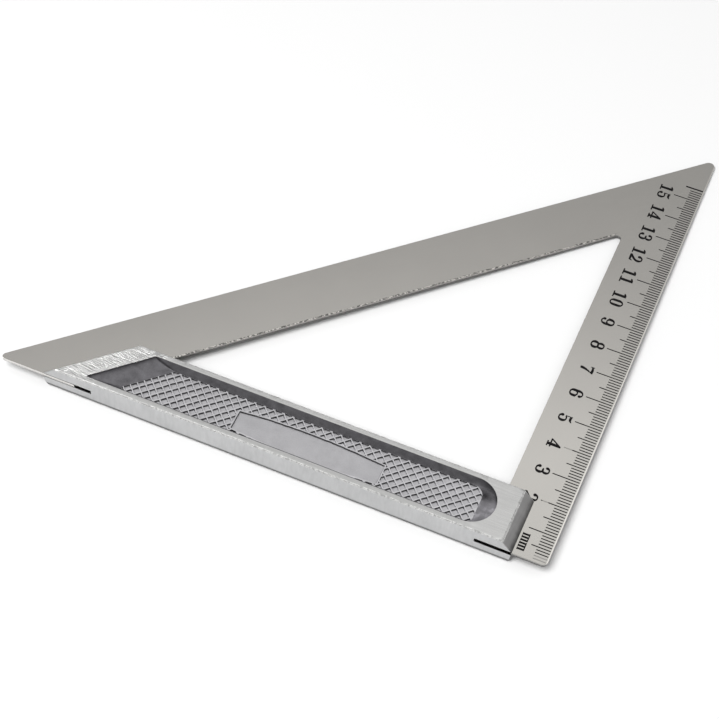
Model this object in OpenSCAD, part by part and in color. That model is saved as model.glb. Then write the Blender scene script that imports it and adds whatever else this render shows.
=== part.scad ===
// Small metric speed square: a flat stainless blade with a triangular opening, its base edge held
// in the slot of a cast aluminium stock. Millimetres, +Z up.
// X runs along the stock, +X to the scale edge. Y runs along the scale, +Y to the top of the
// triangle. The drawing is made from the right-angle corner, then moved so that the origin is
// under the middle of the whole tool.

/* [Blade] */
// Length of each of the two equal legs, to the sharp corner
leg_l = 171.5; // [165:0.5:180]
// Thickness of the blade
blade_t = 1; // [0.8:0.1:1.4]
// Width of the metal left round the triangular opening
strip_w = 18.5; // [17.5:0.5:18.5]
// Radius of the upper 45 degree tip, at the end of the scale
upper_tip_r = 1.8; // [1:0.1:2.5]
// Radius of the left 45 degree tip, at the stock's mitred end
left_tip_r = 1.1; // [1:0.1:2.5]
// Radius of the right-angle corner
corner_r = 1.6; // [1:0.1:2.5]
// Radius in the upper corner of the opening
opening_r = 1.2; // [0.8:0.1:3]
// Depth of the notch cut in the base edge, inside the stock
notch_d = 3.6; // [3:0.1:5]
// Length of the tab that shows in the slot at the mitred end
tab_l = 10.6; // [8:0.2:12]

/* [Stock] */
// Width of the stock, from the outer face to the inner face
stock_w = 18.8; // [18.8:0.1:20]
// Full height of the stock
stock_h = 8.8; // [8.4:0.1:10]
// Distance from the right-angle corner to the stock's square end
end_gap = 10; // [9:0.5:12]
// Distance from the sloping edge of the blade to the stock's mitred end
mitre_gap = 10.6; // [9:0.1:12]
// How far the upper bevel of the square end runs back
square_bevel = 3.5; // [2.5:0.1:4]
// How far the upper bevel of the mitred end runs back
mitre_bevel = 3; // [2.5:0.1:4]
// How far the lower ends slope back
lower_bevel = 0.6; // [0.3:0.1:1]
// Size of the corner cut on the lower ends
lower_cut = 1.2; // [0.8:0.1:1.6]

/* [Grip pockets] */
// Width of the rims along the pocket
rim_side = 1.8; // [1.5:0.1:2.5]
// Width of the rims at the pocket's ends
rim_end = 5.3; // [4.5:0.1:6]
// Depth of the pocket, down to the tops of the ribs
pocket_d = 2; // [1.6:0.1:2.2]
// How far the long walls slope in
side_run = 1.5; // [1:0.1:2]
// How far the mitred end wall slopes in
mitre_run = 5.8; // [4:0.1:7]
// How far the round end wall slopes in
round_run = 4.9; // [4:0.1:6]
// Distance between neighbouring knurl cells along the stock
knurl_pitch = 3; // [2.6:0.1:3.6]
// Width of the knurl ribs
rib_w = 0.5; // [0.4:0.05:0.6]
// Height of the knurl ribs
rib_h = 0.4; // [0.3:0.05:0.5]
// Clearance between the knurl and the pocket's walls
knurl_gap = 0.15; // [0.1:0.05:0.4]
// Distance from the right-angle corner to the middle of the plain panel
panel_x = -75.2; // [-80:0.2:-70]
// Length of the plain panel
panel_l = 45.2; // [30:0.2:50]
// Height of the plain panel at its ends
panel_end_h = 6.5; // [5:0.1:7]
// How far each long side of the panel bows out
panel_bow = 1.2; // [0.8:0.1:1.5]

/* [Slot] */
// Thickness of the adhesive on each face of the blade
bond_t = 0.1; // [0.08:0.01:0.15]
// Thickness of the outer wall that closes the slot
wall_t = 3; // [2.5:0.1:3.4]
// How far the adhesive reaches into the slot
bond_w = 13; // [8:0.5:15]
// Length of the open slot at the square end
slot_square = 11.3; // [8:0.1:13]
// Length of the open slot at the mitred end
slot_mitre = 16.1; // [13:0.1:18]

/* [Scale] */
// Length of the scale in whole centimetres, the last of them numbered
scale_cm = 15; // [10:1:15]
// First centimetre that has a numeral, clear of the stock's square end
first_numeral = 2; // [2:1:5]
// Width of the fine lines
line_w = 0.36; // [0.24:0.02:0.4]
// Width of the heavy line that ends the scale
end_line_w = 0.6; // [0.5:0.05:0.8]
// Gap between the lines and the scale edge
edge_gap = 0.5; // [0.3:0.1:0.8]
// Length of the millimetre lines
mm_l = 3.9; // [3:0.1:4.5]
// Length of the five-millimetre lines
half_l = 5.7; // [5:0.1:6.5]
// Length of the centimetre lines
cm_l = 8.2; // [7.5:0.1:9]
// Height of the numerals
numeral_h = 4.2; // [3.6:0.1:4.6]
// Gap between the numerals and the centimetre lines
numeral_gap = 0.9; // [0.8:0.1:1.4]
// Distance between the two digits of a number
digit_pitch = 3.3; // [3.2:0.1:3.6]
// Depth of the etched marks, filled flush with enamel
mark_d = 0.1; // [0.05:0.01:0.2]

/* [Hidden] */
$fn = 48;
eps = 0.5;
far = 400;
half_x = (leg_l - sqrt(2) * left_tip_r) / 2;
half_y = (leg_l - sqrt(2) * upper_tip_r) / 2;
slope_off = leg_l - strip_w * sqrt(2);
blade_z = (stock_h - blade_t) / 2;
blade_top = blade_z + blade_t;
slot_z = blade_z - bond_t;
slot_t = blade_t + 2 * bond_t;
// The mitred end's line at blade level is y = x + mitre_off
mitre_off = leg_l - mitre_gap * sqrt(2);
floor_z = stock_h - pocket_d;
// Pocket: rim line of the round end, its radius, and the edges of the flat floor
right_x = -end_gap - square_bevel - rim_end;
end_r = stock_w / 2 - rim_side;
floor_y = [rim_side + side_run, stock_w - rim_side - side_run];
floor_right = right_x - round_run;
// The mitred edge of the floor is the line y = x + floor_off
floor_off = mitre_off - (mitre_bevel + rim_end + mitre_run) * sqrt(2);
scale_l = scale_cm * 10 + 5;
font_scale = numeral_h / 10;
line_end_x = -edge_gap;
numeral_base_x = line_end_x - cm_l - numeral_gap - numeral_h;
panel_y = (floor_y[0] + floor_y[1]) / 2 - 1.8;

// Moves the drawing from the right-angle corner to the part's origin
module place() {
    translate([half_x, -half_y, 0]) children();
}

// ---- outlines ----

// Triangle with rounded corners: a sharp triangle cut back by the rounding at each corner
module round_triangle(leg, r_upper, r_left, r_corner) {
    difference() {
        polygon([[0, 0], [0, leg], [-leg, 0]]);
        difference() {
            translate([-r_corner, -eps]) square([r_corner + eps, r_corner + eps]);
            translate([-r_corner, r_corner]) circle(r_corner);
        }
        tip_nibble(leg, r_upper);
        // the left tip, mirrored about the square corner's bisector
        mirror([1, 1]) tip_nibble(leg, r_left);
    }
}

// What the rounding takes off the upper tip
module tip_nibble(leg, r) {
    // distance from the sharp tip to where its rounding starts
    cut = r / tan(22.5);
    difference() {
        polygon([[eps, leg + eps], [eps, leg - cut], [0, leg - cut],
                 [-r, leg - cut], [-cut / sqrt(2), leg - cut / sqrt(2)], [-eps, leg + eps]]);
        translate([-r, leg - cut]) circle(r);
    }
}

// Triangular opening, its upper corner rounded
module opening() {
    top_y = slope_off - strip_w;
    difference() {
        polygon([[-strip_w, strip_w], [-strip_w, top_y], [strip_w - slope_off, strip_w]]);
        translate([-strip_w, top_y - leg_l]) tip_nibble(leg_l, opening_r);
    }
}

// Flat shape w by h whose narrower ends are half circles
module stadium(w, h) {
    d = min(w, h);
    for (s = [-1, 1])
        translate([s * (w - d) / 2, s * (h - d) / 2]) circle(d / 2);
    if (w > d) square([w - d, d], center = true);
    if (h > d) square([d, h - d], center = true);
}

// Ring with upright sides heavier than its top and bottom
module bowl(y, w, h, in_w, in_h) {
    translate([0, y]) difference() {
        stadium(w, h);
        stadium(in_w, in_h);
    }
}

// ---- numerals, drawn 10 units high on a base line, centred on x = 0 ----

module digit_0() {
    bowl(5, 6.8, 10.2, 2.2, 8.2);
}

module digit_1() {
    translate([-1.2, 0]) square([2.4, 10.1]);
    translate([-2.9, 0]) square([5.8, 1]);
    polygon([[-1.2, 10.1], [-3, 8.9], [-3, 8], [-1.2, 8.3]]);
}

module digit_2() {
    difference() {
        bowl(6.9, 6.8, 6.4, 2.3, 4.4);
        translate([-4, 2]) square([4.2, 4.9]);
        translate([-4, 2]) square([8, 3.6]);
    }
    translate([-2.05, 7.3]) circle(1.25);
    polygon([[3.2, 6.2], [1.3, 6.2], [0.6, 4.9], [-3.4, 1.3], [-3.4, 0], [-2, 0], [1.8, 3.4], [3, 5]]);
    translate([-3.4, 0]) square([5.8, 1.6]);
    polygon([[2.3, 0], [3.1, 0.3], [3.6, 2.9], [3, 2.9], [2.3, 1.6]]);
}

module digit_3() {
    difference() {
        union() {
            bowl(7.4, 6.5, 5.6, 2.3, 3.6);
            bowl(2.95, 7.2, 6.2, 2.6, 4.2);
        }
        translate([-4, 2.2]) square([3.6, 5.8]);
    }
    translate([-1.4, 4.8]) square([2.6, 1]);
    translate([-2.05, 7.9]) circle(1.15);
    translate([-2.35, 2.3]) circle(1.25);
}

module digit_4() {
    difference() {
        polygon([[-3.7, 2.2], [-3.7, 3.1], [1, 10.2], [2.4, 10.2], [2.4, 3.3], [3.7, 3.3], [3.7, 2.2],
                 [2.4, 2.2], [2.4, 1], [3.5, 1], [3.5, 0], [-1.1, 0], [-1.1, 1], [0, 1],
                 [0, 2.2]]);
        polygon([[-2.2, 3.3], [0, 3.3], [0, 6.7]]);
    }
}

module digit_5() {
    difference() {
        bowl(3, 7.1, 6.3, 2.6, 4.3);
        translate([-4, 2.2]) square([4, 2.5]);
        translate([-4, 2.2]) square([1.1, 5]);
    }
    polygon([[-2.7, 10], [-1, 9.5], [1, 9.5], [2.6, 10.3], [2.7, 9.5], [1.7, 8.1], [0, 7.6],
             [-1.9, 7.9], [-1.9, 5], [-2.7, 5]]);
    translate([-2.3, 2.3]) circle(1.25);
}

module digit_6() {
    difference() {
        bowl(5, 7.1, 10.2, 2.6, 8.2);
        translate([0.3, 5]) square([4, 3]);
    }
    bowl(3.05, 7.1, 6.3, 2.6, 4.3);
    translate([2.05, 7.9]) circle(1.2);
}

module digit_7() {
    polygon([[-3.2, 7.2], [-3.2, 10.2], [-2.7, 10.2], [-2.3, 9.6], [0.2, 10.1], [3.4, 9.9],
             [3.4, 9.2], [2.6, 7.9], [1.6, 5], [1.1, 2.4], [1, 0.9], [0.8, 0.3], [0.3, 0], [-0.8, 0],
             [-1.3, 0.3], [-1.4, 0.9], [-1.3, 1.9], [-0.6, 4.2], [0.9, 7], [1.7, 8], [-0.4, 8.3],
             [-2.2, 8.2], [-2.6, 7.2]]);
}

module digit_8() {
    bowl(7.4, 6.4, 5.6, 2.1, 3.6);
    bowl(2.95, 7.4, 6.2, 2.6, 4.2);
}

module digit_9() {
    translate([0, 10]) rotate(180) digit_6();
}

module digit(d) {
    if (d == 0) digit_0();
    if (d == 1) digit_1();
    if (d == 2) digit_2();
    if (d == 3) digit_3();
    if (d == 4) digit_4();
    if (d == 5) digit_5();
    if (d == 6) digit_6();
    if (d == 7) digit_7();
    if (d == 8) digit_8();
    if (d == 9) digit_9();
}

// Whole number, one or two digits, centred on x = 0
module number(n) {
    step = digit_pitch / font_scale;
    if (n < 10) digit(n);
    if (n >= 10) {
        translate([-step / 2, 0]) digit(floor(n / 10));
        translate([step / 2, 0]) digit(n % 10);
    }
}

// Letter m, 5.2 units high: three stems under one bar, each on a thin foot
module letter_m(step) {
    for (i = [-1, 0, 1]) {
        translate([i * step - 0.8, 0]) square([1.6, 5.2]);
        translate([i * step - 1.05, 0]) square([2.1, 0.5]);
    }
    translate([-step - 1.1, 4.5]) square([2 * step + 1.7, 0.8]);
}

// ---- marks on the blade, flat shapes in the plane of its top face ----

// One line across the scale at height y
module line_at(y, l, w) {
    translate([line_end_x - l, y - w / 2]) square([l, w]);
}

module mm_marks() {
    for (k = [1:scale_l - 1]) if (k % 5 != 0) line_at(k, mm_l, line_w);
}

module half_cm_marks() {
    for (k = [5:10:scale_l - 1]) line_at(k, half_l, line_w);
}

module cm_marks() {
    for (k = [10:10:scale_l]) line_at(k, cm_l, line_w);
}

module end_mark() {
    line_at(scale_l + end_line_w / 2, half_l, end_line_w);
}

// Text stands with its top to the scale edge
module upright_at(y) {
    translate([numeral_base_x, y]) rotate(-90) scale(font_scale) children();
}

module numeral_marks() {
    for (n = [first_numeral:scale_cm]) upright_at(n * 10) number(n);
}

module unit_marks() {
    step = 1.04 / font_scale;
    translate([4.2, 0]) for (s = [-1, 1])
        upright_at(4.9 - s * 1.5 * step * font_scale) letter_m(step);
}

// Thickness for the marks, sunk in the blade's top face
module enamel(over = 0) {
    translate([0, 0, blade_top - mark_d]) linear_extrude(mark_d + over) children();
}

// ---- blade ----

module blade_outline() {
    notch_l = mitre_off - tab_l - end_gap - 0.3;
    difference() {
        round_triangle(leg_l, upper_tip_r, left_tip_r, corner_r);
        opening();
        // notch in the base edge, clear of the stock's outer wall
        translate([tab_l - mitre_off, -eps]) square([notch_l, notch_d + eps]);
    }
}

module blade() {
    color("lightsteelblue") place() difference() {
        translate([0, 0, blade_z]) linear_extrude(blade_t) blade_outline();
        enamel(eps) mm_marks();
        enamel(eps) half_cm_marks();
        enamel(eps) cm_marks();
        enamel(eps) end_mark();
        enamel(eps) numeral_marks();
        enamel(eps) unit_marks();
    }
}

// ---- stock ----

// End profile: x is the reach from blade level, y is the height; bevelled above the blade and
// nearly upright below it, with a cut corner
module end_profile(bevel) {
    polygon([[-far, 0], [-far, stock_h], [-bevel, stock_h], [0, blade_top], [0, blade_z],
             [-lower_bevel, lower_cut], [-lower_bevel - lower_cut, 0]]);
}

// Bar as wide as the stock, its square end shaped
module square_end_bar() {
    translate([-end_gap, stock_w, 0]) rotate([90, 0, 0]) linear_extrude(stock_w)
        end_profile(square_bevel);
}

// Half space on the tool's side of the mitred end
module mitre_side() {
    translate([-mitre_off, 0, 0]) rotate([0, 0, 135]) translate([0, far / 2, 0])
        rotate([90, 0, 0]) linear_extrude(far) end_profile(mitre_bevel);
}

// Half space above a wall that climbs along +X from the pocket floor to its rim
module above_slope(run) {
    rotate([0, -atan2(pocket_d, run), 0]) translate([-far / 2, -far / 2, 0]) cube(far);
}

// Grip pocket in the upper face, down to the tops of the ribs
module pocket() {
    intersection() {
        translate([0, 0, floor_z]) linear_extrude(pocket_d + eps) {
            translate([-far, 0]) square([far + right_x - end_r, far]);
            translate([right_x - end_r, stock_w / 2]) circle(end_r);
        }
        translate([0, floor_y[0], floor_z]) rotate([0, 0, -90]) above_slope(side_run);
        translate([0, floor_y[1], floor_z]) rotate([0, 0, 90]) above_slope(side_run);
        translate([floor_right, 0, floor_z]) above_slope(round_run);
        translate([-floor_off, 0, floor_z]) rotate([0, 0, 135]) above_slope(mitre_run);
    }
}

// Plain panel left in the knurl: straight ends, long sides that bow outwards
module panel(grow = 0) {
    half_l = panel_l / 2;
    bow_r = (half_l * half_l + panel_bow * panel_bow) / (2 * panel_bow);
    translate([panel_x, panel_y]) intersection_for(s = [-1, 1]) {
        intersection() {
            square([panel_l + 2 * grow, 4 * panel_end_h], center = true);
            translate([0, s * (panel_end_h / 2 + panel_bow + grow - bow_r)]) circle(bow_r);
        }
    }
}

// Square cells between crossing ribs, turned 45 degrees, over the whole pocket floor
module cells() {
    side = knurl_pitch / sqrt(2) - rib_w;
    half = knurl_pitch / 2;
    for (row = [0:ceil(stock_w / half)])
        for (col = [0:ceil(mitre_off / knurl_pitch)])
            translate([floor_right - 0.7 - (col + (row % 2) / 2) * knurl_pitch, row * half])
                rotate(45) square(side, center = true);
}

// Part of the pocket floor that the knurl covers, a little clear of the walls
module knurl_field() {
    x = floor_right - knurl_gap;
    y = [floor_y[0] + knurl_gap, floor_y[1] - knurl_gap];
    off = floor_off - knurl_gap * sqrt(2);
    polygon([[x, y[0]], [x, y[1]], [y[1] - off, y[1]], [y[0] - off, y[0]]]);
}

// What is sunk in the pocket floor: the cells between the ribs, and the plain panel
module knurl() {
    translate([0, 0, floor_z - rib_h]) linear_extrude(rib_h + eps) {
        difference() {
            intersection() {
                knurl_field();
                cells();
            }
            panel(rib_w);
        }
        panel();
    }
}

// Flips the drawing to the stock's underside
module underside() {
    translate([0, 0, stock_h]) mirror([0, 0, 1]) children();
}

// Slot for the blade: open along the inner face and at both ends, closed behind the outer wall
module slot() {
    translate([0, 0, slot_z]) linear_extrude(slot_t) {
        translate([-mitre_off - eps, wall_t]) square([mitre_off, stock_w]);
        translate([-mitre_off - eps, -eps]) square([slot_mitre + eps, wall_t + 2 * eps]);
        translate([-end_gap - slot_square, -eps]) square([slot_square + eps, wall_t + 2 * eps]);
    }
}

module stock() {
    color("silver") place() difference() {
        intersection() {
            square_end_bar();
            mitre_side();
        }
        slot();
        pocket();
        knurl();
        underside() pocket();
        underside() knurl();
    }
}

// Adhesive round the base edge of the blade, shut in behind the outer wall
module slot_adhesive() {
    color("tan") place() difference() {
        translate([slot_mitre - mitre_off, wall_t, slot_z])
            cube([mitre_off - slot_mitre - end_gap - slot_square, bond_w, slot_t]);
        translate([-far, notch_d, blade_z]) cube([far, far, blade_t]);
    }
}

// ---- enamel in the marks ----

module mm_lines() {
    color("black") place() enamel() mm_marks();
}

module half_cm_lines() {
    color("black") place() enamel() half_cm_marks();
}

module cm_lines() {
    color("black") place() enamel() cm_marks();
}

module end_line() {
    color("black") place() enamel() end_mark();
}

module numerals() {
    color("black") place() enamel() numeral_marks();
}

module unit_mark() {
    color("black") place() enamel() unit_marks();
}

blade();
stock();
slot_adhesive();
mm_lines();
half_cm_lines();
cm_lines();
end_line();
numerals();
unit_mark();
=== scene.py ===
"""Looks for the speed square: finishes for the CAD blade and marks, and a detailed cast stock.

The stock is drawn in millimetres from the square's right-angle corner, as the CAD part is:
x runs along the stock and is negative inside it, y runs up the scale, z is height above the
stock's lower face. to_row() brings such a point to the row frame in metres.
"""

import math

import bmesh
import bpy
from mathutils import Matrix, Vector, noise
from mathutils.geometry import delaunay_2d_cdt


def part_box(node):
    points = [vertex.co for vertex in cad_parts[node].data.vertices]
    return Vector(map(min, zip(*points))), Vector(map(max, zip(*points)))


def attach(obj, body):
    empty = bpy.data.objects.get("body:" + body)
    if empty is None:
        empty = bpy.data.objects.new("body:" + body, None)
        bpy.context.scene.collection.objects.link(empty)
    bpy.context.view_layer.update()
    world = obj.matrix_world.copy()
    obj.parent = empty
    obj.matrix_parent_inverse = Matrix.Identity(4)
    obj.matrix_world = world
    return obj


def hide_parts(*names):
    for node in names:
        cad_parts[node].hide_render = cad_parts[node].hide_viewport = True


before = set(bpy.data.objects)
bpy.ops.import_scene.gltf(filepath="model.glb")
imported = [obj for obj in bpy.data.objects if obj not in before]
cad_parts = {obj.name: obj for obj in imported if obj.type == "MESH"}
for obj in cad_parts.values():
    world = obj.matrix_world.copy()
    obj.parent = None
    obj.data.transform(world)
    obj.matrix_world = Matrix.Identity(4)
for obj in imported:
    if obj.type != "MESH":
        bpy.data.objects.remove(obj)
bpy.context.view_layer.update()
MM = 0.001

# ---- sizes read from the frame, in millimetres ----

blade_low, blade_high = (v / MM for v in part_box("blade"))
stock_low, stock_high = (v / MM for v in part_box("stock"))
corner_x = blade_high.x
corner_y = blade_low.y
stock_w = stock_high.y - stock_low.y
stock_h = stock_high.z
blade_z = blade_low.z
blade_top = blade_high.z
end_gap = corner_x - stock_high.x
# mitred end: the line y = x + mitre_off at blade level
mitre_off = corner_x - stock_low.x
ROOT2 = math.sqrt(2)

# ---- sizes of the blade's own features, in millimetres ----

# legs to the sharp corners, strips beside the opening, and about where the upper tip ends
leg_l = 171.5
strip_w = 18.5
upper_tip_y = 169.0
# sloping side of the opening: the line y = x + opening_off
opening_off = leg_l - strip_w * ROOT2
# the rectangle of the blade's face that holds every mark
marks_x = (-17.5, -0.45)
marks_y = (0.5, 157.5)

# ---- sizes of the stock's own features, in millimetres ----

square_bevel = 3.5
mitre_bevel = 3.0
arris_r = 0.45
foot_r = 1.7
corner_r = 0.35
rim_side = 1.8
rim_end = 5.3
pocket_d = 2.0
side_run = 1.5
mitre_run = 5.8
round_run = 5.0
knurl_pitch = 3.0
rib_h = 0.5
rib_top = 0.36
rib_flank = 0.18
hem_flank = 0.07
field_gap = 0.02
panel_x = -75.2
panel_l = 45.2
panel_h = 6.5
panel_bow = 1.2
# half width of the band that the panel's dull finish fills, and where it has faded out
panel_mask = (4.2, 4.6)
# clearance drawn above and below the blade in its slot
slot_gap = 0.25
wall_t = 3.0
slot_square = 11.3
slot_mitre = 16.1

rim_right = -end_gap - square_bevel - rim_end
end_r = stock_w / 2 - rim_side
floor_z = stock_h - pocket_d
floor_y = (rim_side + side_run, stock_w - rim_side - side_run)
floor_right = rim_right - round_run
rim_off = mitre_off - (mitre_bevel + rim_end) * ROOT2
floor_off = rim_off - mitre_run * ROOT2
panel_y = (floor_y[0] + floor_y[1]) / 2 - 1.8
# middle of the knurl's first sunk cell
lattice_x = floor_right - 0.7
lattice_y = 0.33

# material slots of the stock mesh
LAND, OUTER, BEVEL, CAST, KNURL, INNER, ARRIS = range(7)


def to_row(point):
    """A point in drawing millimetres as a point of the row frame, in metres."""
    return ((point[0] + corner_x) * MM, (point[1] + corner_y) * MM, point[2] * MM)


def wobble(x, y, z, scale, seed):
    """Smooth noise from -1 to 1 with features about scale millimetres across."""
    return noise.noise(Vector((x / scale + seed * 7.3, y / scale - seed * 3.1, z / scale)))


def smooth(t):
    t = min(max(t, 0.0), 1.0)
    return t * t * (3 - 2 * t)


# ---- perimeter loops ----


def fillet(before, corner, after, radius, steps):
    """Points of an arc that rounds a corner between two straight edges."""
    b = Vector(before) - Vector(corner)
    a = Vector(after) - Vector(corner)
    half = b.angle(a) / 2
    b.normalize()
    a.normalize()
    centre = Vector(corner) + (a + b).normalized() * (radius / math.sin(half))
    start = Vector(corner) + b * (radius / math.tan(half))
    turn = math.pi - 2 * half
    arc = []
    for i in range(steps + 1):
        arm = start - centre
        arm.rotate(Matrix.Rotation(turn * i / steps, 2))
        arc.append(centre + arm)
    return arc


def ring(corners, radii, counts, steps=5):
    """Closed counter-clockwise outline with rounded corners. Its points keep their number and
    order whatever the sizes, so that two rings can be joined one to one. counts gives the
    pieces that each edge is cut into, the first edge starting at the first corner."""
    n = len(corners)
    arcs = [fillet(corners[i - 1], corners[i], corners[(i + 1) % n], radii[i], steps)
            for i in range(n)]
    points = []
    for i in range(n):
        points += arcs[i]
        start = arcs[i][-1]
        end = arcs[(i + 1) % n][0]
        points += [start.lerp(end, k / counts[i]) for k in range(1, counts[i])]
    return points


# ---- mesh building ----


class Shell:
    """Vertices and faces gathered in drawing millimetres, each face with a material slot."""

    def __init__(self):
        self.points = []
        self.faces = []
        self.slots = []

    def add(self, points):
        first = len(self.points)
        self.points += [tuple(p) for p in points]
        return list(range(first, len(self.points)))

    def face(self, indices, slot):
        self.faces.append(tuple(indices))
        self.slots.append(slot)

    def band(self, low, high, slot_of):
        """Quads between two rings with the same number of points."""
        n = len(low)
        for i in range(n):
            j = (i + 1) % n
            quad = (low[i], low[j], high[j], high[i])
            self.face(quad, slot_of(i))

    def object(self, name, materials):
        mesh = bpy.data.meshes.new(name)
        mesh.from_pydata([to_row(p) for p in self.points], [], self.faces)
        for material in materials:
            mesh.materials.append(material)
        mesh.polygons.foreach_set("material_index", self.slots)
        work = bmesh.new()
        work.from_mesh(mesh)
        bmesh.ops.remove_doubles(work, verts=work.verts, dist=0.0004 * MM)
        bmesh.ops.dissolve_degenerate(work, edges=work.edges, dist=0.0002 * MM)
        bmesh.ops.recalc_face_normals(work, faces=work.faces)
        work.to_mesh(mesh)
        work.free()
        piece = bpy.data.objects.new(name, mesh)
        bpy.context.scene.collection.objects.link(piece)
        return piece


# ---- the stock's outer faces ----


def end_reach(z, bevel):
    """How far an end stands back at height z: bevelled above the blade, rounded at the foot."""
    if z >= blade_top:
        reach = bevel * (z - blade_top) / (stock_h - blade_top)
        return reach + 0.25 * max(0.0, (z - stock_h + 0.3) / 0.3) ** 2
    if z >= blade_z:
        return 0.0
    reach = 0.25 * (blade_z - z) / blade_z
    if z < foot_r:
        reach += foot_r - math.sqrt(foot_r ** 2 - (foot_r - z) ** 2)
    return reach


ARRIS_STEPS = 5


def outer_levels():
    """Heights of the outer rings from the top down, each with its inset along the sides."""
    turns = [math.radians(90 * k / ARRIS_STEPS) for k in range(ARRIS_STEPS + 1)]
    top = [(stock_h - arris_r * (1 - math.cos(a)), arris_r * (1 - math.sin(a))) for a in turns]
    middle = [7.8, 7.1, 6.4, 5.7, blade_top, 4.4, blade_z, 3.3, 2.7, 2.1, 1.6, 1.15, 0.8, 0.55]
    bottom = [(stock_h - z, inset) for z, inset in reversed(top)]
    return top + [(z, 0.0) for z in middle] + bottom


NEAR_N, RIGHT_N, FAR_N, MITRE_N = 330, 36, 300, 46
CORNER_N = 5


def outer_ring(z, inset):
    """Outline of the stock at height z, starting at its near right corner."""
    right = -end_gap - end_reach(z, square_bevel)
    off = mitre_off - end_reach(z, mitre_bevel) * ROOT2
    near = inset
    far = stock_w - inset
    corners = [(right, near), (right, far), (far - off, far), (near - off, near)]
    radii = [corner_r, corner_r, corner_r, corner_r * 0.8]
    return ring(corners, radii, [RIGHT_N, FAR_N, MITRE_N, NEAR_N], CORNER_N)


def outer_slot(i):
    """Material slot of the outer faces by their place in the ring."""
    right_end = CORNER_N + RIGHT_N
    far_end = right_end + CORNER_N + FAR_N
    mitre_end = far_end + CORNER_N + MITRE_N
    on_an_end = i < right_end or far_end <= i < mitre_end
    return BEVEL if on_an_end else OUTER


def roughened(point, z, inset):
    """Moves an outer point a little: the long faces ripple and their arrises are ragged. The
    points of the two ends stay where they are."""
    x, y = point
    if 0.8 < y < stock_w - 0.8:
        return (x, y, z)
    worn = inset / arris_r
    low = 0.02 * wobble(x, y, z, 6.0, 1)
    ragged = 0.18 * wobble(x, y, z, 1.1, 2) * smooth(worn * 1.6) * smooth((1 - worn) * 5)
    inward = abs(low) + max(0.0, ragged) + 0.5 * max(0.0, -ragged)
    side = -1.0 if y > stock_w / 2 else 1.0
    return (x, y + side * inward, z - 0.4 * inward * worn * (1 if z > stock_h / 2 else -1))


# ---- pocket ----

POCKET_N = (26, 30, 150, 24, 190)


def rim_ring():
    """The pocket's outline in the face of the stock: round at the right, mitred at the left."""
    low = rim_side
    high = stock_w - rim_side
    centre = Vector((rim_right - end_r, stock_w / 2))
    arc_n = POCKET_N[0] + POCKET_N[1]
    points = []
    for i in range(arc_n):
        a = math.pi * (i / arc_n - 0.5)
        points.append(centre + end_r * Vector((math.cos(a), math.sin(a))))
    far_corner = fillet((centre.x, high), (high - rim_off, high), (low - rim_off, low), 0.5, 5)
    near_corner = fillet((high - rim_off, high), (low - rim_off, low), (centre.x, low), 0.35, 5)
    points += stretch((centre.x, high), far_corner[0], POCKET_N[2])
    points += far_corner[:-1]
    points += stretch(far_corner[-1], near_corner[0], POCKET_N[3])
    points += near_corner[:-1]
    points += stretch(near_corner[-1], (centre.x, low), POCKET_N[4])
    return points


def stretch(start, end, count):
    """Evenly spaced points from start up to, and without, end."""
    start = Vector(start)
    end = Vector(end)
    return [start.lerp(end, i / count) for i in range(count)]


def floor_ring():
    """Outline of the pocket's flat floor, point for point with rim_ring()."""
    low, high = floor_y
    right = floor_right
    near_r, far_r = 1.6, 3.4
    bottom = fillet((right - 20, low), (right, low), (right, high), near_r, 12)
    top = fillet((right, low), (right, high), (right - 20, high), far_r, 16)
    far_corner = fillet((right, high), (high - floor_off, high), (low - floor_off, low), 0.9, 5)
    near_corner = fillet((high - floor_off, high), (low - floor_off, low), (right, low), 0.6, 5)
    path = stretch((rim_right - end_r, low), bottom[0], 2) + bottom + top[:-1]
    path += [top[-1], Vector((rim_right - end_r - 3, high))]
    points = even(path, POCKET_N[0] + POCKET_N[1])
    points += stretch((rim_right - end_r - 3, high), far_corner[0], POCKET_N[2])
    points += far_corner[:-1]
    points += stretch(far_corner[-1], near_corner[0], POCKET_N[3])
    points += near_corner[:-1]
    points += stretch(near_corner[-1], (rim_right - end_r, low), POCKET_N[4])
    return points


def even(path, count):
    """Resamples an open path to count evenly spaced points, leaving out its end."""
    lengths = [0.0]
    for a, b in zip(path, path[1:]):
        lengths.append(lengths[-1] + (b - a).length)
    points = []
    k = 0
    for i in range(count):
        target = lengths[-1] * i / count
        while lengths[k + 1] < target:
            k += 1
        span = lengths[k + 1] - lengths[k]
        points.append(path[k].lerp(path[k + 1], (target - lengths[k]) / span))
    return points


def bowl_share():
    """For each point of the rim, how dished the wall below it is: 0 flat, 1 a quarter round."""
    arc_n = POCKET_N[0] + POCKET_N[1]
    share = [math.sin(math.pi * (i / arc_n)) ** 0.7 for i in range(arc_n)]
    share += [0.0] * POCKET_N[2]
    share += [smooth(i / 5) for i in range(5)]
    share += [1.0] * POCKET_N[3]
    share += [smooth(1 - i / 5) for i in range(5)]
    share += [0.0] * POCKET_N[4]
    return share


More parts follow.
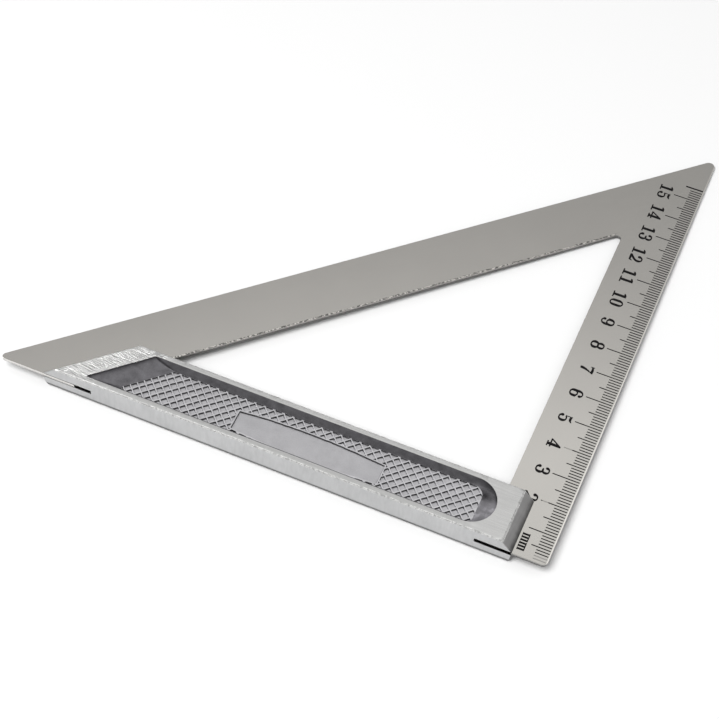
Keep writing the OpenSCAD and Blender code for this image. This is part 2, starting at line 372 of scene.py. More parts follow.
def pocket_walls(shell, flip):
    """Lofts the walls from the rim to the floor; gives the rim's and the floor's indices."""
    rim = rim_ring()
    foot = floor_ring()
    share = bowl_share()
    steps = 12
    rings = []
    for s in range(steps + 1):
        t = s / steps
        points = []
        for i, (a, b) in enumerate(zip(rim, foot)):
            flat = 0.82 * t + 0.18 * smooth(t)
            dish = 1 - math.cos(t * math.pi / 2)
            drop = math.sin(t * math.pi / 2) ** 0.85
            p = a.lerp(b, flat * (1 - share[i]) + dish * share[i])
            depth = pocket_d * ((0.8 * t + 0.2 * smooth(t)) * (1 - share[i]) + drop * share[i])
            if 0 < s < steps:
                # as cast: gentle dents and a fine pitting
                dent = 0.04 + 0.10 * share[i] * math.sin(math.pi * t)
                depth += dent * wobble(p.x, p.y, 0, 2.3, 5) + 0.02 * wobble(p.x, p.y, 0, 0.7, 6)
            points.append((p.x, p.y, flip(stock_h - depth)))
        rings.append(shell.add(points))
    for a, b in zip(rings, rings[1:]):
        shell.band(a, b, lambda i: CAST)
    return rings[0], rings[-1]


# ---- knurled floor ----


def clip(polygon, lines):
    """Convex polygon cut to the left of each line, a line being a point and a direction."""
    for point, direction in lines:
        kept = []
        side = [direction.x * (p.y - point.y) - direction.y * (p.x - point.x) for p in polygon]
        for i, p in enumerate(polygon):
            j = (i + 1) % len(polygon)
            if side[i] >= 0:
                kept.append(p)
            if side[i] * side[j] < 0:
                kept.append(p.lerp(polygon[j], side[i] / (side[i] - side[j])))
        polygon = kept
        if len(polygon) < 3:
            return []
    return polygon


def field_lines(outline, inset):
    """The convex outline's edges moved inwards, as lines for clip()."""
    lines = []
    for a, b in zip(outline, outline[1:] + outline[:1]):
        direction = (b - a).normalized()
        if (b - a).length > 1e-4:
            lines.append((a + inset * Vector((-direction.y, direction.x)), direction))
    return lines


def panel_outline(grow):
    """The plain panel's outline: straight ends, long sides bowed out."""
    half = panel_l / 2 + grow
    steps = 24
    side = [(-half + 2 * half * i / steps) for i in range(steps + 1)]
    lower = [Vector((panel_x + u, panel_y - panel_half(u) - grow)) for u in side]
    upper = [Vector((panel_x + u, panel_y + panel_half(u) + grow)) for u in reversed(side)]
    return lower + upper


def panel_half(u):
    """Half height of the panel at distance u from its middle."""
    return panel_h / 2 + panel_bow * (1 - (2 * u / panel_l) ** 2)


def cell_centres():
    """Centres of the sunk cells: a square lattice turned by 45 degrees."""
    centres = []
    half = knurl_pitch / 2
    rows = int(stock_w / half) + 1
    columns = int(mitre_off / knurl_pitch) + 1
    for row in range(rows):
        for column in range(columns):
            x = lattice_x - (column + (row % 2) / 2) * knurl_pitch
            centres.append((x, row * half + lattice_y))
    return centres


def cell_depth(x, y, lines):
    """How far the floor is sunk at a point, as a share of the rib height."""
    u = (x - lattice_x) / ROOT2 + (y - lattice_y) / ROOT2
    v = (x - lattice_x) / ROOT2 - (y - lattice_y) / ROOT2
    side = knurl_pitch / ROOT2
    u = abs(u - side * round(u / side))
    v = abs(v - side * round(v / side))
    inside = (side - rib_top) / 2 - max(u, v)
    hem = min(d.x * (y - p.y) - d.y * (x - p.x) for p, d in lines)
    du = abs(x - panel_x) - panel_l / 2
    dv = abs(y - panel_y) - panel_half(x - panel_x if du < 0 else panel_l / 2)
    sunk = smooth(min(inside / rib_flank, hem / hem_flank, (max(du, dv) - rib_top) / rib_flank))
    plain = smooth(-max(du, dv) / rib_flank)
    return max(sunk, plain)


def knurled_floor(shell, border, flip):
    """Fills the pocket's floor ring with the ribs, the sunk cells and the plain panel."""
    outline = [Vector(shell.points[i][:2]) for i in border]
    hem = field_lines(outline, field_gap)
    verts = list(outline)
    polygons = [list(range(len(outline)))]

    def add(points):
        if len(points) > 2:
            polygons.append(list(range(len(verts), len(verts) + len(points))))
            verts.extend(points)

    shares = (0.0, 0.5, 1.0)
    fields = [field_lines(outline, field_gap + share * hem_flank) for share in shares]
    for x, y in cell_centres():
        if not near_floor(x, y):
            continue
        for share, field in zip(shares, fields):
            r = ((knurl_pitch / ROOT2 - rib_top) / 2 - share * rib_flank) * ROOT2
            square = [Vector((x + r, y)), Vector((x, y + r)), Vector((x - r, y)), Vector((x, y - r))]
            add(clip(square, field))
    for share in shares:
        add(panel_outline(rib_top + share * rib_flank))
        add(panel_outline(-share * rib_flank))
    out = delaunay_2d_cdt(verts, [], polygons, 0, 1e-5)
    keep = [i for i, faces in enumerate(out[5]) if 0 in faces]
    points = []
    for p in out[0]:
        depth = rib_h * cell_depth(p.x, p.y, hem)
        # as cast: cell floors a little uneven, rib tops worn unevenly
        grain = 0.035 * wobble(p.x, p.y, 0, 1.3, 8) + 0.05 * wobble(p.x, p.y, 0, 7.0, 9)
        on_edge = min(1.0, edge_distance(p, outline) / 0.5)
        shift = 0.11 * on_edge
        x = p.x + shift * wobble(p.x, p.y, 0, 2.4, 11)
        y = p.y + shift * wobble(p.x, p.y, 0, 2.4, 12)
        points.append((x, y, flip(floor_z - depth + grain * on_edge)))
    for i, p in enumerate(out[0]):
        if edge_distance(p, outline) < 2e-4:
            points[i] = (p.x, p.y, flip(floor_z))
    index = shell.add(points)
    for i in keep:
        face = out[2][i]
        shell.face([index[k] for k in face], KNURL)


def near_floor(x, y):
    """Whether a cell's middle lies in or close to the floor."""
    low, high = floor_y
    if not (low - 1.5 < y < high + 1.5 and x < floor_right + 1.5):
        return False
    return y - x < floor_off + 2


def edge_distance(p, outline):
    """Distance from a point inside the floor to its straight sides and its round end."""
    low, high = floor_y
    straight = min(p.y - low, high - p.y, (floor_off - (p.y - p.x)) / ROOT2)
    if p.x < floor_right - 4:
        return max(0.0, straight)
    nearest = min((p - q).length for q in outline)
    return min(nearest, max(0.0, straight)) if straight < nearest else nearest


# ---- lands ----


def land(shell, outer, rim, flip):
    """Flat face between the outer ring and the pocket's rim."""
    outer_xy = [Vector(shell.points[i][:2]) for i in outer]
    rim_xy = [Vector(shell.points[i][:2]) for i in rim]
    verts = outer_xy + rim_xy
    n = len(outer_xy)
    polygons = [list(range(n)), list(range(n, len(verts)))]
    out = delaunay_2d_cdt(verts, [], polygons, 0, 1e-5)
    level = flip(stock_h)
    index = shell.add([(p.x, p.y, level) for p in out[0]])
    for i, faces in enumerate(out[5]):
        if 0 in faces and 1 not in faces:
            shell.face([index[k] for k in out[2][i]], LAND)


def stock_shell():
    """The whole stock before the slot is cut: outer faces, then a land and a pocket on each face."""
    shell = Shell()
    rings = []
    for z, inset in outer_levels():
        points = [roughened(p, z, inset) for p in outer_ring(z, inset)]
        rings.append(shell.add(points))
    last = len(rings) - 2
    for k, (a, b) in enumerate(zip(rings, rings[1:])):
        worn = k < ARRIS_STEPS or k > last - ARRIS_STEPS
        shell.band(a, b, lambda i: ARRIS if worn else outer_slot(i))
    for outer, flip in ((rings[0], lambda z: z), (rings[-1], lambda z: stock_h - z)):
        for i in outer:
            x, y = shell.points[i][:2]
            shell.points[i] = (x, y, flip(stock_h))
        rim, foot = pocket_walls(shell, flip)
        land(shell, outer, rim, flip)
        knurled_floor(shell, foot, flip)
    return shell


# ---- slot ----


def slot_cutter(name, outline, low, high, material):
    """Closed prism on an outline, used to cut the slot."""
    shell = Shell()
    bottom = shell.add([(x, y, low) for x, y in outline])
    top = shell.add([(x, y, high) for x, y in outline])
    shell.band(bottom, top, lambda i: 0)
    shell.face(bottom, 0)
    shell.face(top, 0)
    return shell.object(name, [material])


def cut(piece, cutter):
    """Takes the cutter out of the piece for good."""
    modifier = piece.modifiers.new("cut", "BOOLEAN")
    modifier.operation = "DIFFERENCE"
    modifier.solver = "EXACT"
    modifier.material_mode = "TRANSFER"
    modifier.object = cutter
    bpy.context.view_layer.update()
    graph = bpy.context.evaluated_depsgraph_get()
    mesh = bpy.data.meshes.new_from_object(piece.evaluated_get(graph))
    piece.modifiers.clear()
    old = piece.data
    piece.data = mesh
    bpy.data.meshes.remove(old)
    bpy.data.objects.remove(cutter)


def slot_outline():
    """Plan of the blade's slot: open on the inner face and at both ends, shut behind the
    outer wall except for a stretch at each end."""
    left = -mitre_off - 2
    right = -end_gap + 2
    mitre_end = slot_mitre - mitre_off
    square_end = -end_gap - slot_square
    return [(left, -2), (mitre_end, -2), (mitre_end, wall_t), (square_end, wall_t),
            (square_end, -2), (right, -2), (right, stock_w + 2), (left, stock_w + 2)]


# ---- materials ----


class Nodes:
    """Short hand for building one material's node tree, in the object's own millimetres."""

    def __init__(self, name):
        self.material = bpy.data.materials.new(name)
        self.material.use_nodes = True
        self.tree = self.material.node_tree
        self.tree.nodes.clear()
        self.output = self.tree.nodes.new("ShaderNodeOutputMaterial")
        self.shader = self.tree.nodes.new("ShaderNodeBsdfPrincipled")
        self.link(self.shader.outputs[0], self.output.inputs["Surface"])
        place = self.tree.nodes.new("ShaderNodeTexCoord")
        shift = self.tree.nodes.new("ShaderNodeMapping")
        shift.vector_type = "POINT"
        shift.inputs["Location"].default_value = (-corner_x, -corner_y, 0)
        shift.inputs["Scale"].default_value = (1 / MM, 1 / MM, 1 / MM)
        self.link(place.outputs["Object"], shift.inputs["Vector"])
        self.mm = shift.outputs["Vector"]

    def link(self, out, into):
        self.tree.links.new(out, into)

    def put(self, value, socket):
        """Sets a socket to a plain value, or links it."""
        if hasattr(value, "is_output"):
            self.link(value, socket)
        else:
            socket.default_value = value

    def math(self, kind, a, b=0.0):
        node = self.tree.nodes.new("ShaderNodeMath")
        node.operation = kind
        for value, socket in zip((a, b), node.inputs):
            self.put(value, socket)
        return node.outputs[0]

    def span(self, value, low, high, to_low=0.0, to_high=1.0):
        """Maps low..high of a value smoothly to to_low..to_high, clamped."""
        node = self.tree.nodes.new("ShaderNodeMapRange")
        node.interpolation_type = "SMOOTHSTEP"
        self.put(value, node.inputs["Value"])
        node.inputs["From Min"].default_value = low
        node.inputs["From Max"].default_value = high
        node.inputs["To Min"].default_value = to_low
        node.inputs["To Max"].default_value = to_high
        return node.outputs["Result"]

    def axes(self, vector=None):
        node = self.tree.nodes.new("ShaderNodeSeparateXYZ")
        self.link(vector or self.mm, node.inputs[0])
        return node.outputs

    def turned(self, degrees, scale):
        """Coordinates turned about the height and stretched, for grain along one direction."""
        node = self.tree.nodes.new("ShaderNodeMapping")
        node.vector_type = "TEXTURE"
        node.inputs["Rotation"].default_value = (0, 0, math.radians(degrees))
        node.inputs["Scale"].default_value = scale
        self.link(self.mm, node.inputs["Vector"])
        return node.outputs["Vector"]

    def noise(self, size, detail=3.0, rough=0.55, vector=None, distortion=0.0):
        """Noise from 0 to 1 whose features are about size millimetres across."""
        node = self.tree.nodes.new("ShaderNodeTexNoise")
        self.link(vector or self.mm, node.inputs["Vector"])
        node.inputs["Scale"].default_value = 1.0 / size
        node.inputs["Detail"].default_value = detail
        node.inputs["Roughness"].default_value = rough
        node.inputs["Distortion"].default_value = distortion
        return node.outputs["Fac"]

    def mix(self, factor, a, b):
        node = self.tree.nodes.new("ShaderNodeMix")
        node.data_type = "RGBA"
        self.put(factor, node.inputs["Factor"])
        # sockets 6 and 7 are the two colours
        self.put(a, node.inputs[6])
        self.put(b, node.inputs[7])
        return node.outputs[2]

    def grey(self, value, tint=(1.0, 1.0, 1.0)):
        """A tinted grey whose lightness is a node value."""
        node = self.tree.nodes.new("ShaderNodeCombineColor")
        for part, socket in zip(tint, node.inputs):
            self.link(self.math("MULTIPLY", value, part), socket)
        return node.outputs[0]

    def bump(self, height, strength, distance):
        node = self.tree.nodes.new("ShaderNodeBump")
        node.inputs["Strength"].default_value = strength
        node.inputs["Distance"].default_value = distance * MM
        self.link(height, node.inputs["Height"])
        self.link(node.outputs[0], self.shader.inputs["Normal"])

    def finish(self, color, roughness, metallic=1.0):
        self.put(color, self.shader.inputs["Base Color"])
        self.put(roughness, self.shader.inputs["Roughness"])
        self.shader.inputs["Metallic"].default_value = metallic
        return self.material


def total(nodes, *terms):
    """Sum of (value, weight) pairs."""
    result = None
    for value, weight in terms:
        part = nodes.math("MULTIPLY", value, weight)
        result = part if result is None else nodes.math("ADD", result, part)
    return result


def blade_face_material():
    """Matte stainless sheet: fine grain along the rolling direction, faint mottling, with painted
    highlights along the opening's sloping side and the leg's outer edge.
    """
    n = Nodes("blade_face")
    grain = n.noise(1.0, 4, 0.6, n.turned(45, (9.0, 0.16, 1.0)))
    cloud = n.noise(26.0, 3)
    speckle = n.noise(0.35, 2)
    tone = total(n, (grain, 0.05), (cloud, 0.05), (speckle, 0.03))
    tone = n.math("ADD", tone, 0.43)
    x, y, z = n.axes()
    # the sloping side of the opening has a rough burr: painted highlights (glints) along it, broken
    # by dark nicks
    ragged = n.noise(0.8, 3, 0.6)
    away = n.math("SUBTRACT", n.math("SUBTRACT", y, x), opening_off)
    away = n.math("ADD", n.math("DIVIDE", away, ROOT2), n.math("MULTIPLY", ragged, 0.9))
    burr = n.math("MULTIPLY", n.span(x, -21.2, -20.2, 1.0, 0.0), n.span(away, -0.4, -0.2))
    burr = n.math("MULTIPLY", burr, n.span(away, 0.9, 1.1, 1.0, 0.0))
    painted_glint = n.math("MULTIPLY", burr, n.span(ragged, 0.40, 0.62, -0.34, 0.30))
    # painted highlight: the face is lightened close to the leg's outer edge, for the light its
    # softened arris catches
    rim = n.span(x, -0.42, -0.30)
    tone = total(n, (tone, 1.0), (painted_glint, 1.0), (rim, 0.22))
    n.bump(total(n, (grain, 0.6), (speckle, 0.4)), 0.12, 0.02)
    rough = total(n, (grain, 0.06), (speckle, 0.05))
    return n.finish(n.grey(tone, (1.0, 0.97, 0.915)), n.math("ADD", rough, 0.13))


def blade_edge_material():
    """Sheared edge of the sheet: upright drag marks over a dark broken band."""
    n = Nodes("blade_edge")
    x, y, z = n.axes()
    drag = n.noise(1.0, 3, 0.6, n.turned(0, (0.3, 0.3, 2.5)))
    height = n.math("ADD", z, n.math("MULTIPLY", n.noise(1.2, 2), 0.5))
    torn = n.span(height, blade_z + 0.55, blade_z + 0.95, 0.0, 1.0)
    # painted highlight: the base edge beyond the stock's mitred end is lightened, for the light it
    # catches
    base_highlight = n.math("MULTIPLY", n.span(y, 0.3, 0.6, 1.0, 0.0), n.span(x, -60.0, -50.0, 1.0, 0.0))
    tone = total(n, (drag, 0.20), (torn, 0.14), (base_highlight, 0.5))
    tone = n.math("ADD", tone, 0.06)
    n.bump(total(n, (drag, 0.7), (n.noise(0.25, 2), 0.3)), 0.7, 0.06)
    return n.finish(n.grey(tone, (1.0, 0.98, 0.95)), n.span(torn, 0, 1, 0.55, 0.35))


# places on the scale where the enamel has rubbed off: centre, half size, how much
WORN_SPOTS = (
    ((-7.4, 20.0), (0.9, 0.6), 1.0),
    ((-7.6, 40.0), (1.4, 0.6), 0.75),
    ((-2.4, 1.4), (3.0, 1.0), 0.7),
)


def enamel_material():
    """Matte black fill, worn through to the steel in spots."""
    n = Nodes("mark_enamel")
    x, y, z = n.axes()
    fine = n.noise(0.3, 3)
    broad = n.noise(2.4, 2)
    wear = n.math("ADD", n.math("MULTIPLY", fine, 0.5), n.math("MULTIPLY", broad, 0.5))
    worn = n.span(wear, 0.74, 0.84)
    for (cx, cy), (rx, ry), strength in WORN_SPOTS:
        dx = n.math("DIVIDE", n.math("SUBTRACT", x, cx), rx)
        dy = n.math("DIVIDE", n.math("SUBTRACT", y, cy), ry)
        reach = n.math("ADD", n.math("POWER", dx, 2.0), n.math("POWER", dy, 2.0))
        spot = n.span(n.math("ADD", reach, n.math("MULTIPLY", fine, 0.5)), 0.9, 1.5, strength, 0.0)
        worn = n.math("MAXIMUM", worn, spot)
    color = n.mix(worn, (0.006, 0.006, 0.006, 1), (0.40, 0.39, 0.37, 1))
    n.bump(fine, 0.3, 0.02)
    n.link(worn, n.shader.inputs["Metallic"])
    n.put(color, n.shader.inputs["Base Color"])
    n.shader.inputs["Specular IOR Level"].default_value = 0.04
    n.put(n.span(wear, 0.2, 0.8, 0.5, 0.7), n.shader.inputs["Roughness"])
    return n.material


def land_material():
    """Linished faces of the casting: coarse file strokes at the mitred end, fine elsewhere."""
    n = Nodes("stock_land")
    x, y, z = n.axes()
    mitre = n.math("SUBTRACT", n.math("SUBTRACT", y, x), rim_off - 2.5)
    coarse_zone = n.span(mitre, -2.0, 1.5)
    stroke = n.noise(1.0, 3, 0.6, n.turned(-6, (3.4, 0.42, 1.0)), 0.6)
    fine = n.noise(1.0, 4, 0.65, n.turned(3, (9.0, 0.16, 1.0)))
    pit = n.noise(0.3, 2)
    side = n.noise(1.0, 3, 0.6, n.turned(0, (14.0, 0.5, 1.0)))
    coarse = n.math("MULTIPLY", stroke, coarse_zone)
    tone = total(n, (coarse, 0.85), (coarse_zone, -0.47), (fine, 0.12), (side, 0.14),
                 (pit, 0.05), (n.noise(9.0, 2), 0.08))
    # the near rim is rubbed duller than the rest
    near_rim = n.math("MULTIPLY", n.span(y, 1.6, 2.2, 1.0, 0.0), n.span(x, -26.0, -22.0, 1.0, 0.0))
    tone = n.math("ADD", n.math("MULTIPLY", near_rim, -0.09), tone)
    tone = n.math("ADD", tone, 0.44)
    relief = total(n, (coarse, 3.0), (fine, 0.3), (side, 0.5), (pit, 0.3))
    n.bump(relief, 0.8, 0.12)
    rough = n.math("ADD", n.math("MULTIPLY", pit, 0.1), 0.33)
    return n.finish(n.grey(tone, (1.0, 0.998, 0.985)), rough)


def outer_material():
    """The long faces, linished with faint arcs that lean across the height."""
    n = Nodes("stock_outer")
    arcs = n.noise(1.0, 3, 0.6, n.turned(0, (1.1, 1.0, 5.0)), 0.4)
    slow = n.noise(11.0, 3)
    pit = n.noise(0.4, 3)
    tone = total(n, (arcs, 0.14), (slow, 0.14), (pit, 0.06))
    x, y, z = n.axes()
    # painted shade: darker towards the bottom of the rolled foot, for the contact shadow along the
    # lower edge
    tone = n.math("MULTIPLY", n.math("ADD", tone, 0.36), n.span(z, 0.8, 1.5, 0.30, 1.0))
    n.bump(total(n, (arcs, 0.5), (pit, 0.3)), 0.35, 0.05)
    rough = n.math("ADD", n.math("MULTIPLY", pit, 0.1), 0.36)
    return n.finish(n.grey(tone, (0.99, 0.995, 1.0)), rough)


def arris_material():
    """Filed and knocked edges: worn bright metal in a broken line, lightened further as painted
    highlights (glints), with dull nicks.
    """
    n = Nodes("stock_arris")
    nick = n.noise(0.9, 3, 0.7)
    drag = n.noise(1.0, 3, 0.6, n.turned(0, (5.0, 0.3, 0.3)))
    # the bright tone is partly real wear and partly painted glints
    tone = n.math("ADD", n.span(nick, 0.36, 0.62, 0.36, 0.74), n.math("MULTIPLY", drag, 0.2))
    n.bump(total(n, (nick, 1.0), (drag, 0.5)), 0.5, 0.1)
    return n.finish(n.grey(tone, (1.0, 0.998, 0.985)), n.span(nick, 0.3, 0.7, 0.45, 0.22))


def bevel_material():
    """Machined ends: brushed along their length and darker than the lands."""
    n = Nodes("stock_bevel")
    brush = n.noise(1.0, 4, 0.65, n.turned(90, (7.0, 0.2, 1.0)))
    cloud = n.noise(3.5, 3)
    tone = total(n, (brush, 0.14), (cloud, 0.14))
    tone = n.math("ADD", tone, 0.20)
    # painted shade where the bevel meets the blade: darker towards the crease
    x, y, z = n.axes()
    painted_crease_shade = n.span(n.math("ADD", z, cloud), blade_top + 0.5, blade_top + 2.4, 0.35, 1.0)
    tone = n.math("MULTIPLY", tone, painted_crease_shade)
    n.bump(total(n, (brush, 0.6), (cloud, 0.3)), 0.4, 0.05)
    rough = n.math("ADD", n.math("MULTIPLY", cloud, 0.1), 0.3)
    return n.finish(n.grey(tone, (1.0, 0.985, 0.985)), rough)


# where the round end's wall starts, and where its far half starts, in drawing millimetres
BOWL_X = -25.5
BOWL_Y = 10.5


def cast_material():
    """Pocket walls left as cast: dark, dull, faintly purple, mottled."""
    n = Nodes("stock_cast")
    x, y, z = n.axes()
    mottle = n.noise(2.6, 4, 0.6)
    blobs = n.span(n.noise(1.9, 2, 0.5), 0.42, 0.66)
    grit = n.noise(0.28, 3)
    # the round end is duller; painted light on it: its nearer half is lightened with blotchy painted
    # highlights, its far half darkened as painted shade
    round_end = n.span(x, BOWL_X - 2.0, BOWL_X + 2.0)
    painted_near_light = n.math("MULTIPLY", round_end, n.span(y, BOWL_Y - 1.5, BOWL_Y + 2.5, 1.0, 0.0))
    painted_far_shade = n.math("MULTIPLY", round_end, n.span(y, BOWL_Y, BOWL_Y + 3.0))
    tone = total(n, (mottle, 0.18), (grit, 0.08), (painted_near_light, 0.10), (painted_far_shade, -0.09))
    tone = n.math("ADD", tone, n.math("MULTIPLY", n.math("MULTIPLY", blobs, painted_near_light), 0.13))
    tone = n.math("MAXIMUM", n.math("ADD", tone, 0.03), 0.015)
    n.bump(total(n, (mottle, 0.7), (blobs, 0.3), (grit, 0.35)), 0.5, 0.12)
    rough = total(n, (mottle, 0.2), (round_end, 0.14))
    rough = n.math("ADD", rough, 0.42)
    return n.finish(n.grey(tone, (1.0, 0.98, 1.04)), rough)


def knurl_material():
    """Knurled floor: cells with a dull cast skin, the ribs and rubbed spots brighter, the steep
    flanks darkened as painted shade.
    """
    n = Nodes("stock_knurl")
    x, y, z = n.axes()
    mottle = n.noise(3.5, 3)
    grit = n.noise(0.35, 3)
    low_face = n.math("SUBTRACT", stock_h, z)
    rubbed = n.span(n.math("MAXIMUM", z, low_face), floor_z - 0.25, floor_z - 0.02)
    facing = n.tree.nodes.new("ShaderNodeNewGeometry")
    level = n.math("ABSOLUTE", n.axes(facing.outputs["True Normal"])[2])
    tone = total(n, (mottle, 0.14), (grit, 0.16), (rubbed, 0.08))
    tone = n.math("ADD", tone, 0.40)
    # painted shade: steep faces of the ribs and cells are darkened to 0.3 of their tone
    tone = n.math("MULTIPLY", tone, n.span(level, 0.55, 0.97, 0.30, 1.0))
    # the plain panel is a little duller
    along = n.math("ABSOLUTE", n.math("SUBTRACT", x, panel_x))
    across = n.math("ABSOLUTE", n.math("SUBTRACT", y, panel_y))
    in_x = n.span(along, panel_l / 2, panel_l / 2 + 0.3, 1.0, 0.0)
    in_y = n.span(across, panel_mask[0], panel_mask[1], 1.0, 0.0)
    tone = n.math("SUBTRACT", tone, n.math("MULTIPLY", n.math("MULTIPLY", in_x, in_y), 0.03))
    n.bump(total(n, (mottle, 0.4), (grit, 0.5)), 0.45, 0.08)
    rough = n.math("ADD", n.math("MULTIPLY", grit, 0.15), 0.34)
    return n.finish(n.grey(tone, (1.0, 0.99, 1.02)), rough)


def inner_material():
    """Inside of the slot: painted shade, near black with a faint mottle."""
    n = Nodes("stock_slot")
    shade_mottle = n.noise(0.8, 3)
    tone = n.math("ADD", n.math("MULTIPLY", shade_mottle, 0.05), 0.02)
    n.bump(shade_mottle, 0.4, 0.05)
    return n.finish(n.grey(tone), 0.7, 0.5)


def adhesive_material():
    """Cured resin: dull amber with a slight mottle."""
    n = Nodes("slot_resin")
    cloud = n.noise(1.6, 3)
    color = n.mix(cloud, (0.16, 0.12, 0.07, 1), (0.28, 0.23, 0.15, 1))
    n.bump(cloud, 0.3, 0.05)
    return n.finish(color, n.math("ADD", n.math("MULTIPLY", cloud, 0.2), 0.4), 0.0)


# ---- CAD nodes that are kept ----


def is_outline(x, y):
    """Whether a place on the blade is on its outline, and not on the edge of a mark."""
    return not (marks_x[0] < x < marks_x[1] and marks_y[0] < y < marks_y[1])


def dress_blade(blade, face, edge):
    """Gives the CAD blade its two finishes and softens the arrises of its outline."""
    mesh = blade.data
    mesh.materials.clear()
    mesh.materials.append(face)
    mesh.materials.append(edge)
    for polygon in mesh.polygons:
        upright = abs(polygon.normal.z) < 0.5
        polygon.material_index = 1 if upright else 0
        polygon.use_smooth = False
    owners = {}
    for polygon in mesh.polygons:
        for key in polygon.edge_keys:
            owners[key] = owners.get(key, 0) + 1
    weights = mesh.attributes.new("bevel_weight_edge", "FLOAT", "EDGE")
    for e in mesh.edges:
        a, b = (mesh.vertices[i].co / MM for i in e.vertices)
        middle = (a + b) / 2
        flat = abs(a.z - b.z) < 0.01
        hard = owners.get(e.key, 0) == 1
        if flat and hard and is_outline(middle.x - corner_x, middle.y - corner_y):
            weights.data[e.index].value = 1.0
    if "custom_normal" in mesh.attributes:
        mesh.attributes.remove(mesh.attributes["custom_normal"])
    weld = blade.modifiers.new("weld", "WELD")
    weld.merge_threshold = 0.001 * MM
    soften = blade.modifiers.new("soften", "BEVEL")
    soften.limit_method = "WEIGHT"
    soften.width = 0.12 * MM
    soften.segments = 2
    soften.use_clamp_overlap = True


def dress(node, material):
    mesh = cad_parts[node].data
    mesh.materials.clear()
    mesh.materials.append(material)


# ---- scene ----


def make_floor():
    """Pale table under the tool. The stock's far lower edge and the blade's tip rest on it."""
    rise = blade_z / (upper_tip_y - stock_w)
    reach = 1600.0
    corners = []
    for x, y in ((-reach, -reach), (reach, -reach), (reach, reach), (-reach, reach)):
        corners.append(to_row((x, y, (y - stock_w) * rise - 0.02)))
    mesh = bpy.data.meshes.new("floor")
    mesh.from_pydata(corners, [], [(0, 1, 2, 3)])
    floor = bpy.data.objects.new("floor", mesh)
    bpy.context.scene.collection.objects.link(floor)
    material = bpy.data.materials.new("floor_white")
    material.use_nodes = True
    shader = material.node_tree.nodes["Principled BSDF"]
    shader.inputs["Base Color"].default_value = (0.56, 0.56, 0.56, 1)
    shader.inputs["Roughness"].default_value = 0.9
    shader.inputs["Specular IOR Level"].default_value = 0.0
    mesh.materials.append(material)


def make_world():
    """Soft studio light: brightest in a band high up, duller towards the left."""
    world = bpy.data.worlds.new("studio")
    bpy.context.scene.world = world
    world.use_nodes = True
    tree = world.node_tree
    tree.nodes.clear()
    place = tree.nodes.new("ShaderNodeTexCoord")
    split = tree.nodes.new("ShaderNodeSeparateXYZ")
    ramp = tree.nodes.new("ShaderNodeValToRGB")
    background = tree.nodes.new("ShaderNodeBackground")
    output = tree.nodes.new("ShaderNodeOutputWorld")
    tree.links.new(place.outputs["Generated"], split.inputs[0])
    tree.links.new(split.outputs[2], ramp.inputs[0])
    # the bright patch ends to the left of the camera's mirror direction
    fade = tree.nodes.new("ShaderNodeMapRange")
    fade.interpolation_type = "SMOOTHSTEP"
    tree.links.new(split.outputs[0], fade.inputs["Value"])
    fade.inputs["From Min"].default_value = -0.42
    fade.inputs["From Max"].default_value = -0.10
    fade.inputs["To Min"].default_value = 0.74
    fade.inputs["To Max"].default_value = 1.0
    dim = tree.nodes.new("ShaderNodeMix")
    dim.data_type = "RGBA"
    dim.blend_type = "MULTIPLY"
    dim.inputs["Factor"].default_value = 1.0
    tree.links.new(ramp.outputs[0], dim.inputs[6])
    tree.links.new(fade.outputs["Result"], dim.inputs[7])
    tree.links.new(dim.outputs[2], background.inputs[0])
    tree.links.new(background.outputs[0], output.inputs[0])
    steps = ((0.0, 0.42), (0.30, 0.44), (0.69, 0.36), (0.735, 0.47), (0.77, 0.52), (0.785, 0.80),
             (0.80, 1.0), (0.822, 0.98), (0.835, 0.80), (1.0, 0.74))
    elements = ramp.color_ramp.elements
    while len(elements) < len(steps):
        elements.new(0.5)
    for element, (place_at, level) in zip(elements, steps):
        element.position = place_at
        element.color = (level, level, level, 1)
    background.inputs["Strength"].default_value = 1.35


def make_light(name, place, target, size, power):
    lamp = bpy.data.lights.new(name, "AREA")
    lamp.shape = "DISK"
    lamp.size = size
    lamp.energy = power
    light = bpy.data.objects.new(name, lamp)
    bpy.context.scene.collection.objects.link(light)
    light.location = place
    aim = Vector(target) - Vector(place)
    light.rotation_euler = aim.to_track_quat("-Z", "Y").to_euler()
    return light


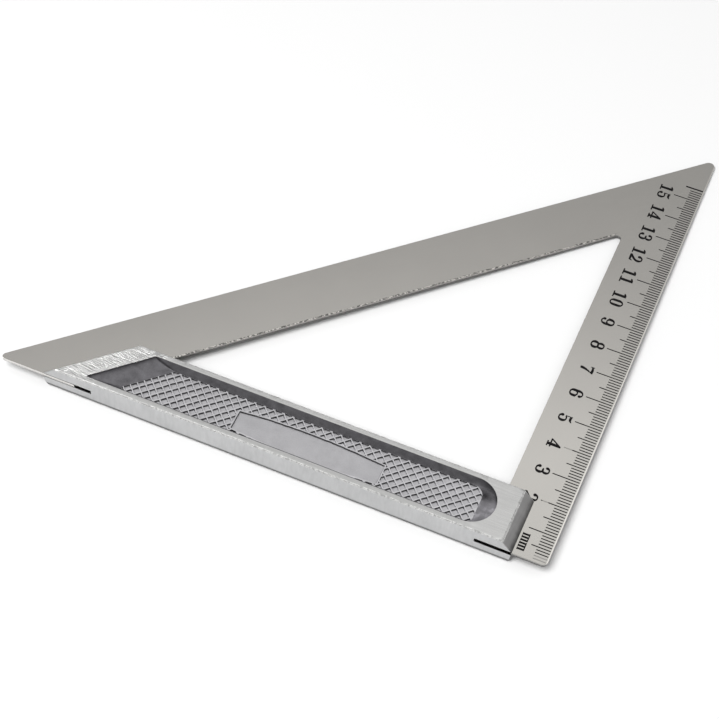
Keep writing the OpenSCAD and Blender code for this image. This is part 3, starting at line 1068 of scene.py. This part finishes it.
# the camera in the row frame: its place in metres, its focal length in millimetres
CAMERA_PLACE = (0.11795, -0.34956, 0.4245)
CAMERA_RIGHT = (0.9193, 0.3902, 0.0522)
CAMERA_FORWARD = (-0.2019, 0.5811, -0.7884)
FOCAL_LENGTH = 89.85


def make_camera():
    lens = bpy.data.cameras.new("camera")
    lens.lens = FOCAL_LENGTH
    lens.sensor_width = 36.0
    camera = bpy.data.objects.new("camera", lens)
    bpy.context.scene.collection.objects.link(camera)
    right = Vector(CAMERA_RIGHT)
    forward = Vector(CAMERA_FORWARD).normalized()
    right = (right - forward * right.dot(forward)).normalized()
    up = right.cross(forward)
    turn = Matrix((right, up, -forward)).transposed().to_4x4()
    camera.matrix_world = Matrix.Translation(CAMERA_PLACE) @ turn
    bpy.context.scene.camera = camera


def main():
    slots = [land_material(), outer_material(), bevel_material(), cast_material(),
             knurl_material(), inner_material(), arris_material()]
    stock = stock_shell().object("cast_stock", slots)
    low = blade_z - slot_gap
    high = blade_top + slot_gap
    cut(stock, slot_cutter("cutter", slot_outline(), low, high, slots[INNER]))
    stock.data.shade_smooth()
    stock.data.set_sharp_from_angle(angle=math.radians(32))
    even_out = stock.modifiers.new("even_out", "WEIGHTED_NORMAL")
    even_out.weight = 90
    even_out.keep_sharp = True
    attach(stock, "root")
    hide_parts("stock")

    dress_blade(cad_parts["blade"], blade_face_material(), blade_edge_material())
    enamel = enamel_material()
    for node in ("mm_lines", "half_cm_lines", "cm_lines", "end_line", "numerals", "unit_mark"):
        dress(node, enamel)
    dress("slot_adhesive", adhesive_material())

    make_floor()
    make_world()
    key = make_light("key", (-0.95, -0.25, 0.85), (0, 0, 0), 0.55, 12.0)
    fill = make_light("fill", (-0.22, -0.80, 1.45), (0, 0, 0), 0.9, 38.0)
    # the key is only seen mirrored in the metal; the fill lifts the floor and is not mirrored
    key.visible_diffuse = False
    fill.visible_glossy = False
    make_camera()
    view = bpy.context.scene.view_settings
    view.view_transform = "Standard"
    view.look = "None"


main()
